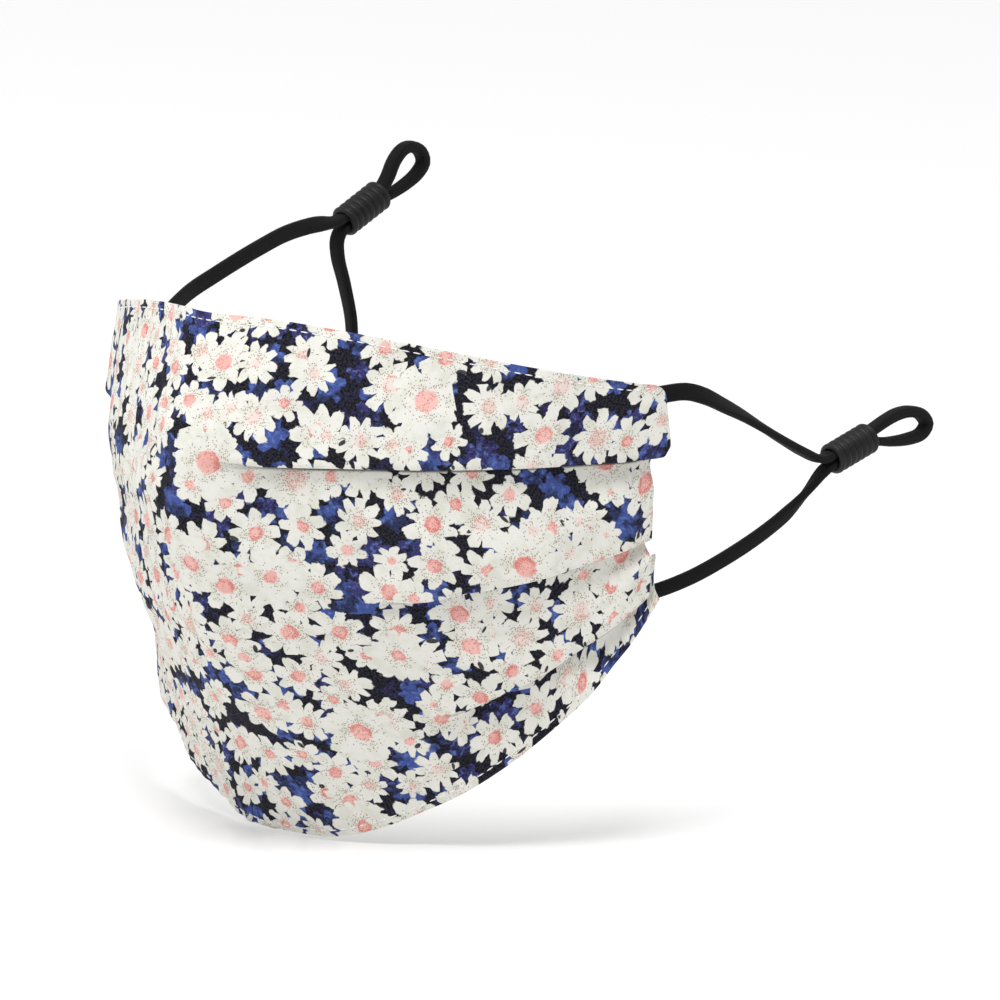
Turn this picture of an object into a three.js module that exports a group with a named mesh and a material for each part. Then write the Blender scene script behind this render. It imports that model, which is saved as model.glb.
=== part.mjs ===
// A pleated cloth face mask in the form it has when worn: one panel of cloth laid in three knife
// pleats, and two elastic ear loops, each drawn twice through a ribbed length adjuster.
// Millimetres. The wearer faces -Y, +X is the wearer's left and +Z is up. The origin is the point
// of the top edge that sits on the bridge of the nose. The sizes below are measured from the
// plane of the two side edges, in front of the ears, and the last group moves them to the origin.

import * as THREE from 'three';

// ---- Driving dimensions ---------------------------------------------------------------------

const CLOTH_THICKNESS = 1.0;
const LAYER_GAP = 0.35;
const COLUMNS_PER_HALF = 20;
const COLUMN_CROWDING = 0.35;

// Lines that run across the mask, from the top edge down to the edge under the chin. Each half
// is one curve from the ridge to the side.
// front: how far the line stands before the ears' plane at the ridge, and how far down.
// side: how far out its end is, and how far down.
// Turn: the angle by which the line leaves the ridge and reaches the side, off straight across.
// Reach: how far it keeps that heading. Fall: how far it drops on that reach.
const LINES = [
  { name: 'topEdge', frontForward: 69, frontDown: 0, ridgeTurn: 31, ridgeReach: 32, ridgeFall: 2,
    sideOut: 72, sideDown: 17.8, sideTurn: 76, sideReach: 40, sideFall: -8 },
  { name: 'upperLip', frontForward: 81, frontDown: 32.5, ridgeTurn: 36, ridgeReach: 38, ridgeFall: 0,
    sideOut: 72, sideDown: 34.5, sideTurn: 78, sideReach: 43, sideFall: -1 },
  { name: 'middleLip', frontForward: 73, frontDown: 67, ridgeTurn: 26, ridgeReach: 36, ridgeFall: 0,
    sideOut: 71, sideDown: 53.5, sideTurn: 76, sideReach: 35, sideFall: 8 },
  { name: 'lowerLip', frontForward: 52, frontDown: 103, ridgeTurn: 12, ridgeReach: 21, ridgeFall: 1,
    sideOut: 71, sideDown: 67, sideTurn: 72, sideReach: 27, sideFall: 19 },
  { name: 'chinEdge', frontForward: 40, frontDown: 124.5, ridgeTurn: 4, ridgeReach: 19, ridgeFall: 2,
    sideOut: 73, sideDown: 70.5, sideTurn: 68, sideReach: 25, sideFall: 35 },
];

// Knife pleats, each hanging from its lip line. opensAt: the share of the way from the ridge to
// the side where the pleat begins, and closedAt: where it is first folded flat. depth: how far
// its cloth turns back at the side.
const PLEATS = [
  { lip: 'upperLip', opensAt: 0.05, closedAt: 0.30, depth: 9.5 },
  { lip: 'middleLip', opensAt: 0.34, closedAt: 0.60, depth: 9.5 },
  { lip: 'lowerLip', opensAt: 0.40, closedAt: 0.68, depth: 7.0 },
];

// Braided elastic of the ear loops, and the ribbed barrel that shortens them.
const ELASTIC = { width: 3.8, thickness: 2.0, steps: 70 };
const ADJUSTER = { length: 14, bore: 2.9, groove: 3.15, rib: 3.5, ribs: 7, sides: 16 };

// Routes of the two ear loops, from the sewn end at the top of the side, through the adjuster,
// round the small spare loop, back through the adjuster and to the sewn end at the bottom.
// Each row is how far out, how far behind the ears' plane and how high.
const LEFT_ROUTE = [
  [68.6, -8, -21.3], [70.8, -1, -21.2], [72.1, 4, -21.0], [73.8, 11, -21.1],
  [74.7, 16.7, -22.9], [75, 22.7, -25.8], [75, 29.8, -29.3], [75, 36.8, -33.2],
  [75, 44.3, -37.4], [75, 51.3, -41.1], [75, 56.4, -43.4], [75, 59.4, -43.8],
  [75, 61.2, -43.3],
  [75, 67.8, -41.8], [75, 74.5, -40.2], [75, 81, -38.3], [75, 85.2, -37.5],
  [75, 89.4, -37.6], [75, 93.4, -38.9], [75, 95.4, -41.4], [75, 93.6, -43.3],
  [75, 89.2, -43.9], [75, 82, -43.5], [75, 75, -42.5], [75, 68.3, -44.1],
  [75, 61.5, -45.6], [75, 59.8, -46.1], [75, 57.2, -47.5], [75, 53.3, -50.2], [75, 46.4, -54.1],
  [75, 36.8, -57.8], [74.4, 25, -61.5], [72.6, 15, -64.6], [69.9, 7, -66.7],
  [67, 0, -67.8], [64.6, -6, -68.2],
];
const RIGHT_ROUTE = [
  [-68.6, -8, -21.4], [-70.6, -2.5, -20.9], [-71.9, 1.5, -19.9], [-73.3, 6.5, -18.5],
  [-74.6, 13, -16.8], [-75, 21, -14.8], [-75, 30, -12.4], [-75, 38, -10.5],
  [-75, 46, -8.9], [-75, 54, -8.3], [-75, 60, -8.4], [-75, 64, -8.6], [-75, 67, -8.0],
  [-75, 73.1, -5.9], [-75, 77, -4.5], [-75, 80.5, -3.2], [-75, 82.7, -1],
  [-75, 85, 2.4],
  [-75, 88, 4.6], [-75, 91.2, 4.9], [-75, 94.4, 3.2], [-75, 95.4, 0.6],
  [-75, 93.2, -1.7], [-75, 88.4, -3.8], [-75, 84, -5], [-75, 80.2, -5.8],
  [-75, 74, -8.1], [-75, 69.8, -9.6], [-75, 66.3, -10.9], [-75, 64.8, -13],
  [-75, 65, -17],
  [-75, 67.4, -24], [-75, 69.9, -34], [-75, 69, -44], [-75, 62.5, -52],
  [-75, 52, -57], [-75, 38, -60.2], [-74.4, 25, -63], [-72.6, 15, -65.2],
  [-69.9, 7, -66.8], [-67, 0, -67.8], [-64.6, -6, -68.2],
];
const LEFT_ADJUSTER = { out: 75, behind: 68, height: -42.95, tilt: 13.1 };
const RIGHT_ADJUSTER = { out: -75, behind: 73.5, height: -7, tilt: 20.1 };

// ---- Panel: the worn form -------------------------------------------------------------------

const RIDGE_SOFTNESS = 0.05;
const SECTION_SAMPLES = 120;

// A share of the half width, 0 at the ridge and 1 at the side, rounded off across the ridge.
function softShare(share) {
  const rounded = Math.hypot(share, RIDGE_SOFTNESS) - RIDGE_SOFTNESS;
  return rounded / (Math.hypot(1, RIDGE_SOFTNESS) - RIDGE_SOFTNESS);
}

// One half of a line, from the ridge to the side, at the wearer's left.
function halfLine(line) {
  const ridgeTurn = THREE.MathUtils.degToRad(line.ridgeTurn);
  const sideTurn = THREE.MathUtils.degToRad(line.sideTurn);
  return new THREE.CubicBezierCurve3(
    new THREE.Vector3(0, -line.frontForward, -line.frontDown),
    new THREE.Vector3(
      line.ridgeReach * Math.cos(ridgeTurn),
      line.ridgeReach * Math.sin(ridgeTurn) - line.frontForward,
      -line.frontDown - line.ridgeFall,
    ),
    new THREE.Vector3(
      line.sideOut - line.sideReach * Math.cos(sideTurn),
      -line.sideReach * Math.sin(sideTurn),
      -line.sideDown - line.sideFall,
    ),
    new THREE.Vector3(line.sideOut, 0, -line.sideDown),
  );
}

const HALF_LINES = LINES.map(halfLine);

// The point of a line at a place across the mask, from -1 at the right side to 1 at the left.
// The two halves meet in a ridge that is rounded off.
function linePoint(index, across) {
  const share = Math.abs(across);
  const rounded = HALF_LINES[index].getPointAt(softShare(share));
  const out = HALF_LINES[index].getPointAt(share).x;
  return new THREE.Vector3(out * Math.sign(across), rounded.y, rounded.z);
}

// One upright section of the worn form: a curve through the lines, with the lines' distances
// along it.
function formSection(across) {
  const points = LINES.map((line, index) => linePoint(index, across));
  const curve = new THREE.CatmullRomCurve3(points, false, 'centripetal');
  curve.arcLengthDivisions = SECTION_SAMPLES;
  const lengths = curve.getLengths();
  const stops = LINES.map((line, index) => {
    return lengths[Math.round((index / (LINES.length - 1)) * SECTION_SAMPLES)];
  });
  return { curve, stops, length: lengths[SECTION_SAMPLES] };
}

// ---- Panel: the cloth's path down one section -----------------------------------------------

const FOLD_RADIUS = (CLOTH_THICKNESS + LAYER_GAP) / 2;
const FOLD_ARC = Math.PI * FOLD_RADIUS;
const FOLD_STEPS = 4;
const BAND_STEPS = 5;
const LEAST_RETURN = 0.4;
const LIP_CLEARANCE = 1.2;

// How far a pleat is folded at a place across the mask: its turn in radians and its return.
function pleatState(pleat, across) {
  const share = Math.abs(across);
  const fold = THREE.MathUtils.smoothstep(share, pleat.opensAt, pleat.closedAt);
  const deep = Math.max(0, (share - pleat.closedAt) / (1 - pleat.closedAt));
  return { turn: fold * Math.PI, back: LEAST_RETURN + pleat.depth * deep };
}

// Walks along an arc of the fold from one heading to another; a heading of 0 is down the mask
// and half a turn is back up. Each point is its place down the section, its height off the
// form and its heading.
function foldArc(path, from, to) {
  for (let step = 1; step <= FOLD_STEPS; step += 1) {
    const before = path[path.length - 1];
    const middle = from + ((to - from) * (step - 0.5)) / FOLD_STEPS;
    path.push({
      down: before.down + (FOLD_ARC / FOLD_STEPS) * Math.cos(middle),
      off: before.off - (FOLD_ARC / FOLD_STEPS) * Math.sin(middle),
      heading: from + ((to - from) * step) / FOLD_STEPS,
    });
  }
}

// How far a fold of a given turn reaches down and in between its two ends.
function foldSpan(state) {
  const path = [{ down: 0, off: 0, heading: 0 }];
  foldArc(path, 0, state.turn);
  const lip = Math.max(...path.map((point) => point.down));
  const turned = path[path.length - 1];
  path.push({
    down: turned.down + state.back * Math.cos(state.turn),
    off: turned.off - state.back * Math.sin(state.turn),
    heading: state.turn,
  });
  foldArc(path, state.turn, 0);
  return { path, lip, end: path[path.length - 1] };
}

// The cloth's path down a section, as points with a place down it, a height off the form and a
// heading. Between two pleats a band climbs from the lower layer to the upper one.
function clothPath(section, across) {
  const folds = PLEATS.map((pleat) => {
    const index = LINES.findIndex((line) => line.name === pleat.lip);
    const span = foldSpan(pleatState(pleat, across));
    const drop = -span.end.off;
    return { ...span, drop, from: section.stops[index] - span.lip, lipAt: section.stops[index] };
  });
  const path = [{ down: 0, off: folds[0].drop, heading: 0 }];
  folds.forEach((fold, order) => {
    const before = folds[order - 1];
    const start = path[path.length - 1];
    const climbFrom = before ? Math.max(before.lipAt + LIP_CLEARANCE, start.down) : 0;
    const climbTo = Math.max(fold.from + Math.min(fold.end.down, 0) - 1, climbFrom + 1);
    const height = (down) => {
      const climbed = THREE.MathUtils.smoothstep(down, climbFrom, climbTo);
      return start.off + (fold.drop - start.off) * climbed;
    };
    pushBand(path, fold.from, [climbFrom, climbTo], height);
    fold.path.slice(1).forEach((point) => {
      path.push({ ...point, down: point.down + fold.from, off: point.off + fold.drop });
    });
  });
  pushBand(path, section.length, [], () => 0);
  return path;
}

// Adds the points of one band, down to a given place, with points where its climb begins and
// ends so that the climb keeps its shape.
function pushBand(path, to, climb, height) {
  const from = path[path.length - 1].down;
  const even = (share) => from + (to - from) * share;
  const places = [];
  for (let step = 1; step <= BAND_STEPS; step += 1) {
    places.push(even(step / BAND_STEPS));
  }
  if (climb.length) {
    const [climbFrom, climbTo] = climb.map((place) => THREE.MathUtils.clamp(place, from, to));
    places[0] = Math.max(climbFrom, even(0.1));
    places[1] = THREE.MathUtils.lerp(places[0], climbTo, 0.35);
    places[2] = THREE.MathUtils.lerp(places[0], climbTo, 0.65);
    places[3] = Math.min(climbTo, even(0.9));
  }
  places.forEach((down) => {
    const slope = (height(down + 0.1) - height(down - 0.1)) / 0.2;
    path.push({ down, off: height(down), heading: -Math.atan(slope) });
  });
}

// ---- Panel: the solid -----------------------------------------------------------------------

const BAND_END_REACH = 3.5;
const END_REACH_FROM = 0.93;

// How far the cloth reaches past the middle bands at the side: the band above the first fold
// and the strip below the last one are the longest.
function endReach(across, row, rows) {
  const upper = row <= BAND_STEPS + FOLD_STEPS / 2;
  const lower = row >= rows - BAND_STEPS;
  const reached = THREE.MathUtils.smoothstep(Math.abs(across), END_REACH_FROM, 1);
  return upper || lower ? BAND_END_REACH * reached : 0;
}

// The two faces of the cloth down one section: rows of outer and inner points.
function clothSection(across) {
  const section = formSection(across);
  const beside = formSection(across + (across > 0 ? -1e-3 : 1e-3));
  const turn = across > 0 ? -1 : 1;
  return clothPath(section, across).map((point, row, path) => {
    const share = THREE.MathUtils.clamp(point.down / section.length, 0, 1);
    const base = section.curve.getPointAt(share);
    const downward = section.curve.getTangentAt(share);
    const sideways = beside.curve.getPointAt(share).sub(base).multiplyScalar(turn).normalize();
    const outward = downward.clone().cross(sideways).normalize();
    const middle = base.addScaledVector(outward, point.off);
    middle.addScaledVector(sideways, endReach(across, row, path.length) * Math.sign(across));
    const normal = outward.multiplyScalar(Math.cos(point.heading))
      .addScaledVector(downward, Math.sin(point.heading));
    return {
      outer: middle.clone().addScaledVector(normal, CLOTH_THICKNESS / 2),
      inner: middle.clone().addScaledVector(normal, -CLOTH_THICKNESS / 2),
    };
  });
}

// Places across the mask, closer together at the sides and the ridge than on the cheeks.
function placesAcross() {
  const places = [];
  for (let step = -COLUMNS_PER_HALF; step <= COLUMNS_PER_HALF; step += 1) {
    const share = step / COLUMNS_PER_HALF;
    places.push(share - (COLUMN_CROWDING * Math.sin(2 * Math.PI * share)) / (2 * Math.PI));
  }
  return places;
}

// One closed solid: both faces of the cloth, and the narrow strips that close its four edges.
function panelGeometry() {
  const sections = placesAcross().map(clothSection);
  const rows = sections[0].length;
  const ringSize = rows * 2;
  const positions = [];
  sections.forEach((section) => {
    section.forEach(({ outer }) => positions.push(...outer.toArray()));
    [...section].reverse().forEach(({ inner }) => positions.push(...inner.toArray()));
  });
  const index = [];
  for (let column = 0; column + 1 < sections.length; column += 1) {
    for (let place = 0; place < ringSize; place += 1) {
      const a = column * ringSize + place;
      const b = column * ringSize + ((place + 1) % ringSize);
      index.push(a, b, a + ringSize, b, b + ringSize, a + ringSize);
    }
  }
  const last = (sections.length - 1) * ringSize;
  for (let row = 0; row + 1 < rows; row += 1) {
    const [a, b, c, d] = [row, row + 1, ringSize - 2 - row, ringSize - 1 - row];
    index.push(a, d, b, b, d, c);
    index.push(last + a, last + b, last + d, last + b, last + c, last + d);
  }
  const geometry = new THREE.BufferGeometry();
  geometry.setAttribute('position', new THREE.Float32BufferAttribute(positions, 3));
  geometry.setIndex(index);
  geometry.computeVertexNormals();
  return geometry;
}

// ---- Ear loops ------------------------------------------------------------------------------

// The section of the flat elastic: eight corners of a rounded oblong, whose first axis stands
// upright at the sewn end, so that its width lies across the loop.
function elasticSection() {
  const [halfWidth, halfThickness] = [ELASTIC.width / 2, ELASTIC.thickness / 2];
  const corners = [];
  [[1, 0.45], [0.62, 1], [-0.62, 1], [-1, 0.45], [-1, -0.45], [-0.62, -1], [0.62, -1], [1, -0.45]]
    .forEach(([wide, thick]) => {
      corners.push(new THREE.Vector2(thick * halfThickness, wide * halfWidth));
    });
  return new THREE.Shape(corners);
}

function earLoop(route) {
  const path = new THREE.CatmullRomCurve3(route.map((point) => new THREE.Vector3(...point)));
  return new THREE.ExtrudeGeometry(elasticSection(), {
    steps: ELASTIC.steps,
    extrudePath: path,
  });
}

// A tube turned about its axis, with rounded ribs along its outside.
function adjusterBarrel() {
  const pitch = ADJUSTER.length / ADJUSTER.ribs;
  const start = -ADJUSTER.length / 2;
  const profile = [new THREE.Vector2(ADJUSTER.bore, start)];
  for (let rib = 0; rib < ADJUSTER.ribs; rib += 1) {
    const from = start + rib * pitch;
    profile.push(new THREE.Vector2(ADJUSTER.groove, from));
    profile.push(new THREE.Vector2(ADJUSTER.rib, from + 0.3 * pitch));
    profile.push(new THREE.Vector2(ADJUSTER.rib, from + 0.7 * pitch));
  }
  profile.push(new THREE.Vector2(ADJUSTER.groove, -start));
  profile.push(new THREE.Vector2(ADJUSTER.bore, -start));
  profile.push(profile[0].clone());
  return new THREE.LatheGeometry(profile, ADJUSTER.sides);
}

// ---- Assembly -------------------------------------------------------------------------------

const COTTON = new THREE.MeshStandardMaterial({ color: 0xd9d9d2, roughness: 0.85, metalness: 0 });
const BLACK_ELASTIC = new THREE.MeshStandardMaterial({ color: 0x141415, roughness: 0.8, metalness: 0 });
const BLACK_RUBBER = new THREE.MeshStandardMaterial({ color: 0x101011, roughness: 0.55, metalness: 0 });

const mask = new THREE.Group();
mask.position.y = LINES[0].frontForward;

function addPiece(name, geometry, material) {
  const piece = new THREE.Mesh(geometry, material);
  piece.name = name;
  mask.add(piece);
  return piece;
}

function addAdjuster(name, place) {
  const piece = addPiece(name, adjusterBarrel(), BLACK_RUBBER);
  piece.position.set(place.out, place.behind, place.height);
  piece.rotation.x = THREE.MathUtils.degToRad(place.tilt);
}

addPiece('mask_panel', panelGeometry(), COTTON);
addPiece('ear_loop_left', earLoop(LEFT_ROUTE), BLACK_ELASTIC);
addPiece('ear_loop_right', earLoop(RIGHT_ROUTE), BLACK_ELASTIC);
addAdjuster('adjuster_left', LEFT_ADJUSTER);
addAdjuster('adjuster_right', RIGHT_ADJUSTER);

const assembly = new THREE.Group();
assembly.add(mask);

export default assembly;
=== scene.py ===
"""Looks of a pleated cloth face mask in the form it has when worn.

Metres, +Z up. The wearer faces -Y and +X is the wearer's left. The origin is the point of the
top edge that sits on the bridge of the nose.
"""

import logging
import math
from dataclasses import dataclass, field
from enum import Enum

import bmesh
import bpy
import numpy as np
from mathutils import Matrix, Vector


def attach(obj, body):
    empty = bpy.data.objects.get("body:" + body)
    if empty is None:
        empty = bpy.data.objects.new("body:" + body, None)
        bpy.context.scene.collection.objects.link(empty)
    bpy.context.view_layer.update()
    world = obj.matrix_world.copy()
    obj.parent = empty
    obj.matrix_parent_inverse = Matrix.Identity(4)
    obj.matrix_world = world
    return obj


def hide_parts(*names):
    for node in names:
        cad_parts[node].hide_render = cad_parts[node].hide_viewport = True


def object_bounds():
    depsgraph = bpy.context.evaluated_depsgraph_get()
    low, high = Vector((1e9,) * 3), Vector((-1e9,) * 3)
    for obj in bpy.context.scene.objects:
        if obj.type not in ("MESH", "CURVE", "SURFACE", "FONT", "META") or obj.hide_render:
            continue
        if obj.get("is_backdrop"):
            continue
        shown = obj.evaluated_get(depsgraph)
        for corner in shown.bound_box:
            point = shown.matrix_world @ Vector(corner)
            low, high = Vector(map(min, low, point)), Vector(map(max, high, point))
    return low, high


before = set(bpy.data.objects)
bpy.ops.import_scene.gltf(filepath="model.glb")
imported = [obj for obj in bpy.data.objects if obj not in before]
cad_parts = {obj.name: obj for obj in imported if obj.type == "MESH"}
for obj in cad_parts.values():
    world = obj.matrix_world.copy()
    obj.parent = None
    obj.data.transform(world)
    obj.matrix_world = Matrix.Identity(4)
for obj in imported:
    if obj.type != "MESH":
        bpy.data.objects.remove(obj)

LOG = logging.getLogger("face_mask")
MM = 0.001
BODY = "root"

# The sizes of the worn form are measured from the plane of the two side edges, in front of the
# ears, which lies this far behind the origin.
EARS_PLANE = 69 * MM


# ---- Small helpers ----------------------------------------------------------------------------


def linear(red: float, green: float, blue: float) -> tuple[float, float, float, float]:
    """Turns a display colour into a linear one.

    Args:
        red: Red from 0 to 255.
        green: Green from 0 to 255.
        blue: Blue from 0 to 255.

    Returns:
        The linear colour with full alpha.
    """
    parts = [channel / 255 for channel in (red, green, blue)]
    lin = [p / 12.92 if p <= 0.04045 else ((p + 0.055) / 1.055) ** 2.4 for p in parts]
    return (lin[0], lin[1], lin[2], 1.0)


def smooth_step(value: np.ndarray, low: float, high: float) -> np.ndarray:
    """Rises smoothly from 0 to 1.

    Args:
        value: The values to map.
        low: Where the rise begins.
        high: Where the rise ends.

    Returns:
        The mapped values.
    """
    share = np.clip((np.asarray(value, float) - low) / (high - low), 0, 1)
    return share * share * (3 - 2 * share)


def unit(vectors: np.ndarray) -> np.ndarray:
    """Scales vectors to length one along the last axis."""
    return vectors / np.maximum(np.linalg.norm(vectors, axis=-1, keepdims=True), 1e-12)


def distances(points: np.ndarray) -> np.ndarray:
    """Adds up the way along points, from 0 at the first."""
    steps = np.linalg.norm(np.diff(points, axis=-2), axis=-1)
    return np.concatenate([np.zeros((*steps.shape[:-1], 1)), np.cumsum(steps, axis=-1)], axis=-1)


def curve_through(knots: list[np.ndarray], count: int) -> np.ndarray:
    """Draws a smooth curve through knots.

    Args:
        knots: The points that it passes, each one place or a row of places.
        count: The number of points from one knot to the next.

    Returns:
        The points along the curve, for each place of a row, with the last knot.
    """
    knots = [2 * knots[0] - knots[1], *knots, 2 * knots[-1] - knots[-2]]
    share = np.linspace(0, 1, count, endpoint=False)[:, None]
    parts = []
    for before, start, end, after in zip(knots, knots[1:], knots[2:], knots[3:]):
        gaps = [np.sqrt(np.linalg.norm(there - here, axis=-1, keepdims=True))
                for here, there in ((before, start), (start, end), (end, after))]
        leave = ((start - before) / gaps[0] - (end - before) / (gaps[0] + gaps[1])
                 + (end - start) / gaps[1]) * gaps[1]
        reach = ((end - start) / gaps[1] - (after - start) / (gaps[1] + gaps[2])
                 + (after - end) / gaps[2]) * gaps[1]
        start, end, leave, reach = (v[..., None, :] for v in (start, end, leave, reach))
        parts.append(start + leave * share
                     + (3 * (end - start) - 2 * leave - reach) * share ** 2
                     + (2 * (start - end) + leave + reach) * share ** 3)
    return np.concatenate([*parts, knots[-2][..., None, :]], axis=-2)


def even_points(line: np.ndarray, count: int) -> np.ndarray:
    """Spaces points evenly along a line.

    Args:
        line: Its points.
        count: The number of points wanted.

    Returns:
        The new points.
    """
    passed = distances(line)
    even = np.linspace(0, passed[-1], count)
    return np.stack([np.interp(even, passed, line[:, axis]) for axis in range(3)], axis=1)


def link_mesh(name: str, bm: bmesh.types.BMesh) -> bpy.types.Object:
    """Makes an object of a finished bmesh.

    Args:
        name: The piece's name.
        bm: The mesh under construction, which is freed.

    Returns:
        The new object, in the scene.
    """
    mesh = bpy.data.meshes.new(name)
    bm.to_mesh(mesh)
    bm.free()
    piece = bpy.data.objects.new(name, mesh)
    bpy.context.scene.collection.objects.link(piece)
    return piece


def shade_smooth(piece: bpy.types.Object) -> None:
    """Shades every face of a piece smoothly."""
    for polygon in piece.data.polygons:
        polygon.use_smooth = True


def woven_grid(name: str, points: np.ndarray, uv: np.ndarray, closed: bool) -> bpy.types.Object:
    """Lays a grid of quads through rows of points.

    Args:
        name: The piece's name.
        points: Places by row and column, in metres.
        uv: Places of the same points on the flat cloth.
        closed: Whether the first and last columns meet and both ends are capped.

    Returns:
        The new object, with the flat places as its UV map.
    """
    rows, columns = points.shape[:2]
    bm = bmesh.new()
    bmesh.ops.create_grid(bm, x_segments=columns - 1, y_segments=rows - 1, size=1.0)
    for vert, place in zip(bm.verts, points.reshape(-1, 3)):
        vert.co = place
    layer = bm.loops.layers.uv.new("cloth")
    flat = uv.reshape(-1, 2)
    bm.verts.index_update()
    for face in bm.faces:
        for loop in face.loops:
            loop[layer].uv = flat[loop.vert.index]
    if closed:
        bmesh.ops.remove_doubles(bm, verts=bm.verts, dist=1e-6)
        open_edges = [edge for edge in bm.edges if edge.is_boundary]
        bmesh.ops.holes_fill(bm, edges=open_edges, sides=0)
        bmesh.ops.recalc_face_normals(bm, faces=bm.faces)
    piece = link_mesh(name, bm)
    shade_smooth(piece)
    return piece


# ---- Shader arithmetic ------------------------------------------------------------------------


class Expr:
    """A socket of numbers that takes part in arithmetic, adding its Math nodes."""

    def __init__(self, shader: "Shader", socket: bpy.types.NodeSocket) -> None:
        """Wraps one output socket."""
        self.shader = shader
        self.socket = socket

    def __add__(self, other: "Expr | float") -> "Expr":
        """Sum."""
        return self.shader.math("ADD", self, other)

    __radd__ = __add__

    def __mul__(self, other: "Expr | float") -> "Expr":
        """Product."""
        return self.shader.math("MULTIPLY", self, other)

    __rmul__ = __mul__

    def __sub__(self, other: "Expr | float") -> "Expr":
        """Difference."""
        return self.shader.math("SUBTRACT", self, other)

    def __rsub__(self, other: "Expr | float") -> "Expr":
        """Difference the other way round."""
        return self.shader.math("SUBTRACT", other, self)

    def __truediv__(self, other: "Expr | float") -> "Expr":
        """Quotient."""
        return self.shader.math("DIVIDE", self, other)

    def __lt__(self, other: "Expr | float") -> "Expr":
        """One where this is the smaller, else nought."""
        return self.shader.math("LESS_THAN", self, other)

    def __gt__(self, other: "Expr | float") -> "Expr":
        """One where this is the greater, else nought."""
        return self.shader.math("GREATER_THAN", self, other)

    def __mod__(self, other: "Expr | float") -> "Expr":
        """Remainder that is never negative."""
        return self.shader.math("FLOORED_MODULO", self, other)


class Shader:
    """A material under construction."""

    def __init__(self, name: str) -> None:
        """Starts a material with an empty node tree.

        Args:
            name: The material's name.
        """
        self.material = bpy.data.materials.new(name)
        self.material.use_nodes = True
        self.tree = self.material.node_tree
        self.tree.nodes.clear()

    def node(self, kind: str, settings: dict | None = None, inputs: dict | None = None
             ) -> bpy.types.Node:
        """Adds one node.

        Args:
            kind: The node's type.
            settings: Its settings by name, set first.
            inputs: Values or links of its sockets, by name or number.

        Returns:
            The node.
        """
        made = self.tree.nodes.new(kind)
        for key, value in (settings or {}).items():
            setattr(made, key, value)
        for key, value in (inputs or {}).items():
            if isinstance(value, Expr):
                value = value.socket
            if isinstance(value, bpy.types.NodeSocket):
                self.tree.links.new(value, made.inputs[key])
            else:
                made.inputs[key].default_value = value
        return made

    def value(self, made: bpy.types.Node, output: str | int = 0) -> Expr:
        """Wraps one output of a node."""
        return Expr(self, made.outputs[output])

    def math(self, operation: str, *operands: "Expr | float") -> Expr:
        """Adds one Math node on up to three operands."""
        inputs = dict(enumerate(operands))
        return self.value(self.node("ShaderNodeMath", {"operation": operation}, inputs))

    def vector(self, operation: str, *operands: object) -> Expr:
        """Adds one Vector Math node and gives its vector."""
        inputs = dict(enumerate(operands))
        return self.value(self.node("ShaderNodeVectorMath", {"operation": operation}, inputs))

    def ramp(self, value: Expr, low: "Expr | float", high: "Expr | float") -> Expr:
        """Rises smoothly from 0 to 1.

        Args:
            value: What is mapped.
            low: Where it is 0.
            high: Where it is 1, which may be the smaller.

        Returns:
            The mapped value.
        """
        settings = {"interpolation_type": "SMOOTHSTEP"}
        inputs = {"Value": value, "From Min": low, "From Max": high}
        return self.value(self.node("ShaderNodeMapRange", settings, inputs), "Result")

    def mix(self, factor: "Expr | float", first: object, second: object) -> Expr:
        """Mixes two colours.

        Args:
            factor: The second colour's share.
            first: The first colour.
            second: The second colour.

        Returns:
            The mixed colour.
        """
        settings = {"data_type": "RGBA"}
        inputs = {0: factor, 6: first, 7: second}
        return self.value(self.node("ShaderNodeMix", settings, inputs), 2)

    def noise(self, vector: Expr, size: float, detail: float = 2.0, shift: float = 0.0) -> Expr:
        """Adds a noise whose features have about the given size.

        Args:
            vector: Where it is read, in metres.
            size: The size of its features, in metres.
            detail: How much finer detail it has.
            shift: An offset that makes it differ from its neighbours.

        Returns:
            The noise, about 0.5.
        """
        moved = self.vector("ADD", vector, (shift, shift * 0.7, shift * 1.3))
        inputs = {"Vector": moved, "Scale": 1 / size, "Detail": detail, "Roughness": 0.55}
        return self.value(self.node("ShaderNodeTexNoise", {}, inputs))

    def coordinates(self, layer: str) -> Expr:
        """Reads a UV map, in metres on the flat cloth."""
        return self.value(self.node("ShaderNodeUVMap", {"uv_map": layer}))

    def axes(self, vector: Expr) -> tuple[Expr, Expr]:
        """Splits a vector into its first two numbers."""
        split = self.node("ShaderNodeSeparateXYZ", {}, {0: vector})
        return self.value(split, 0), self.value(split, 1)

    def finish(self, sockets: dict[str, object], bump: Expr | None = None,
               height: float = 0.0) -> bpy.types.Material:
        """Ends the material with its surface shader.

        Args:
            sockets: Values or links of the surface shader.
            bump: A height from 0 to 1, where the surface has a relief.
            height: The relief's real height in metres.

        Returns:
            The finished material.
        """
        inputs = dict(sockets)
        if bump is not None:
            relief = {"Height": bump, "Distance": height, "Strength": 1.0}
            inputs["Normal"] = self.value(self.node("ShaderNodeBump", {}, relief))
        surface = self.node("ShaderNodeBsdfPrincipled", {}, inputs)
        self.node("ShaderNodeOutputMaterial", {}, {"Surface": surface.outputs[0]})
        return self.material


# ---- Finishes ---------------------------------------------------------------------------------


class Petal(Enum):
    """How a flower of the print is painted."""

    IVORY = "ivory daisy with a rosy centre"
    DUSK = "blue flower that lies in the ground"


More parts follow.
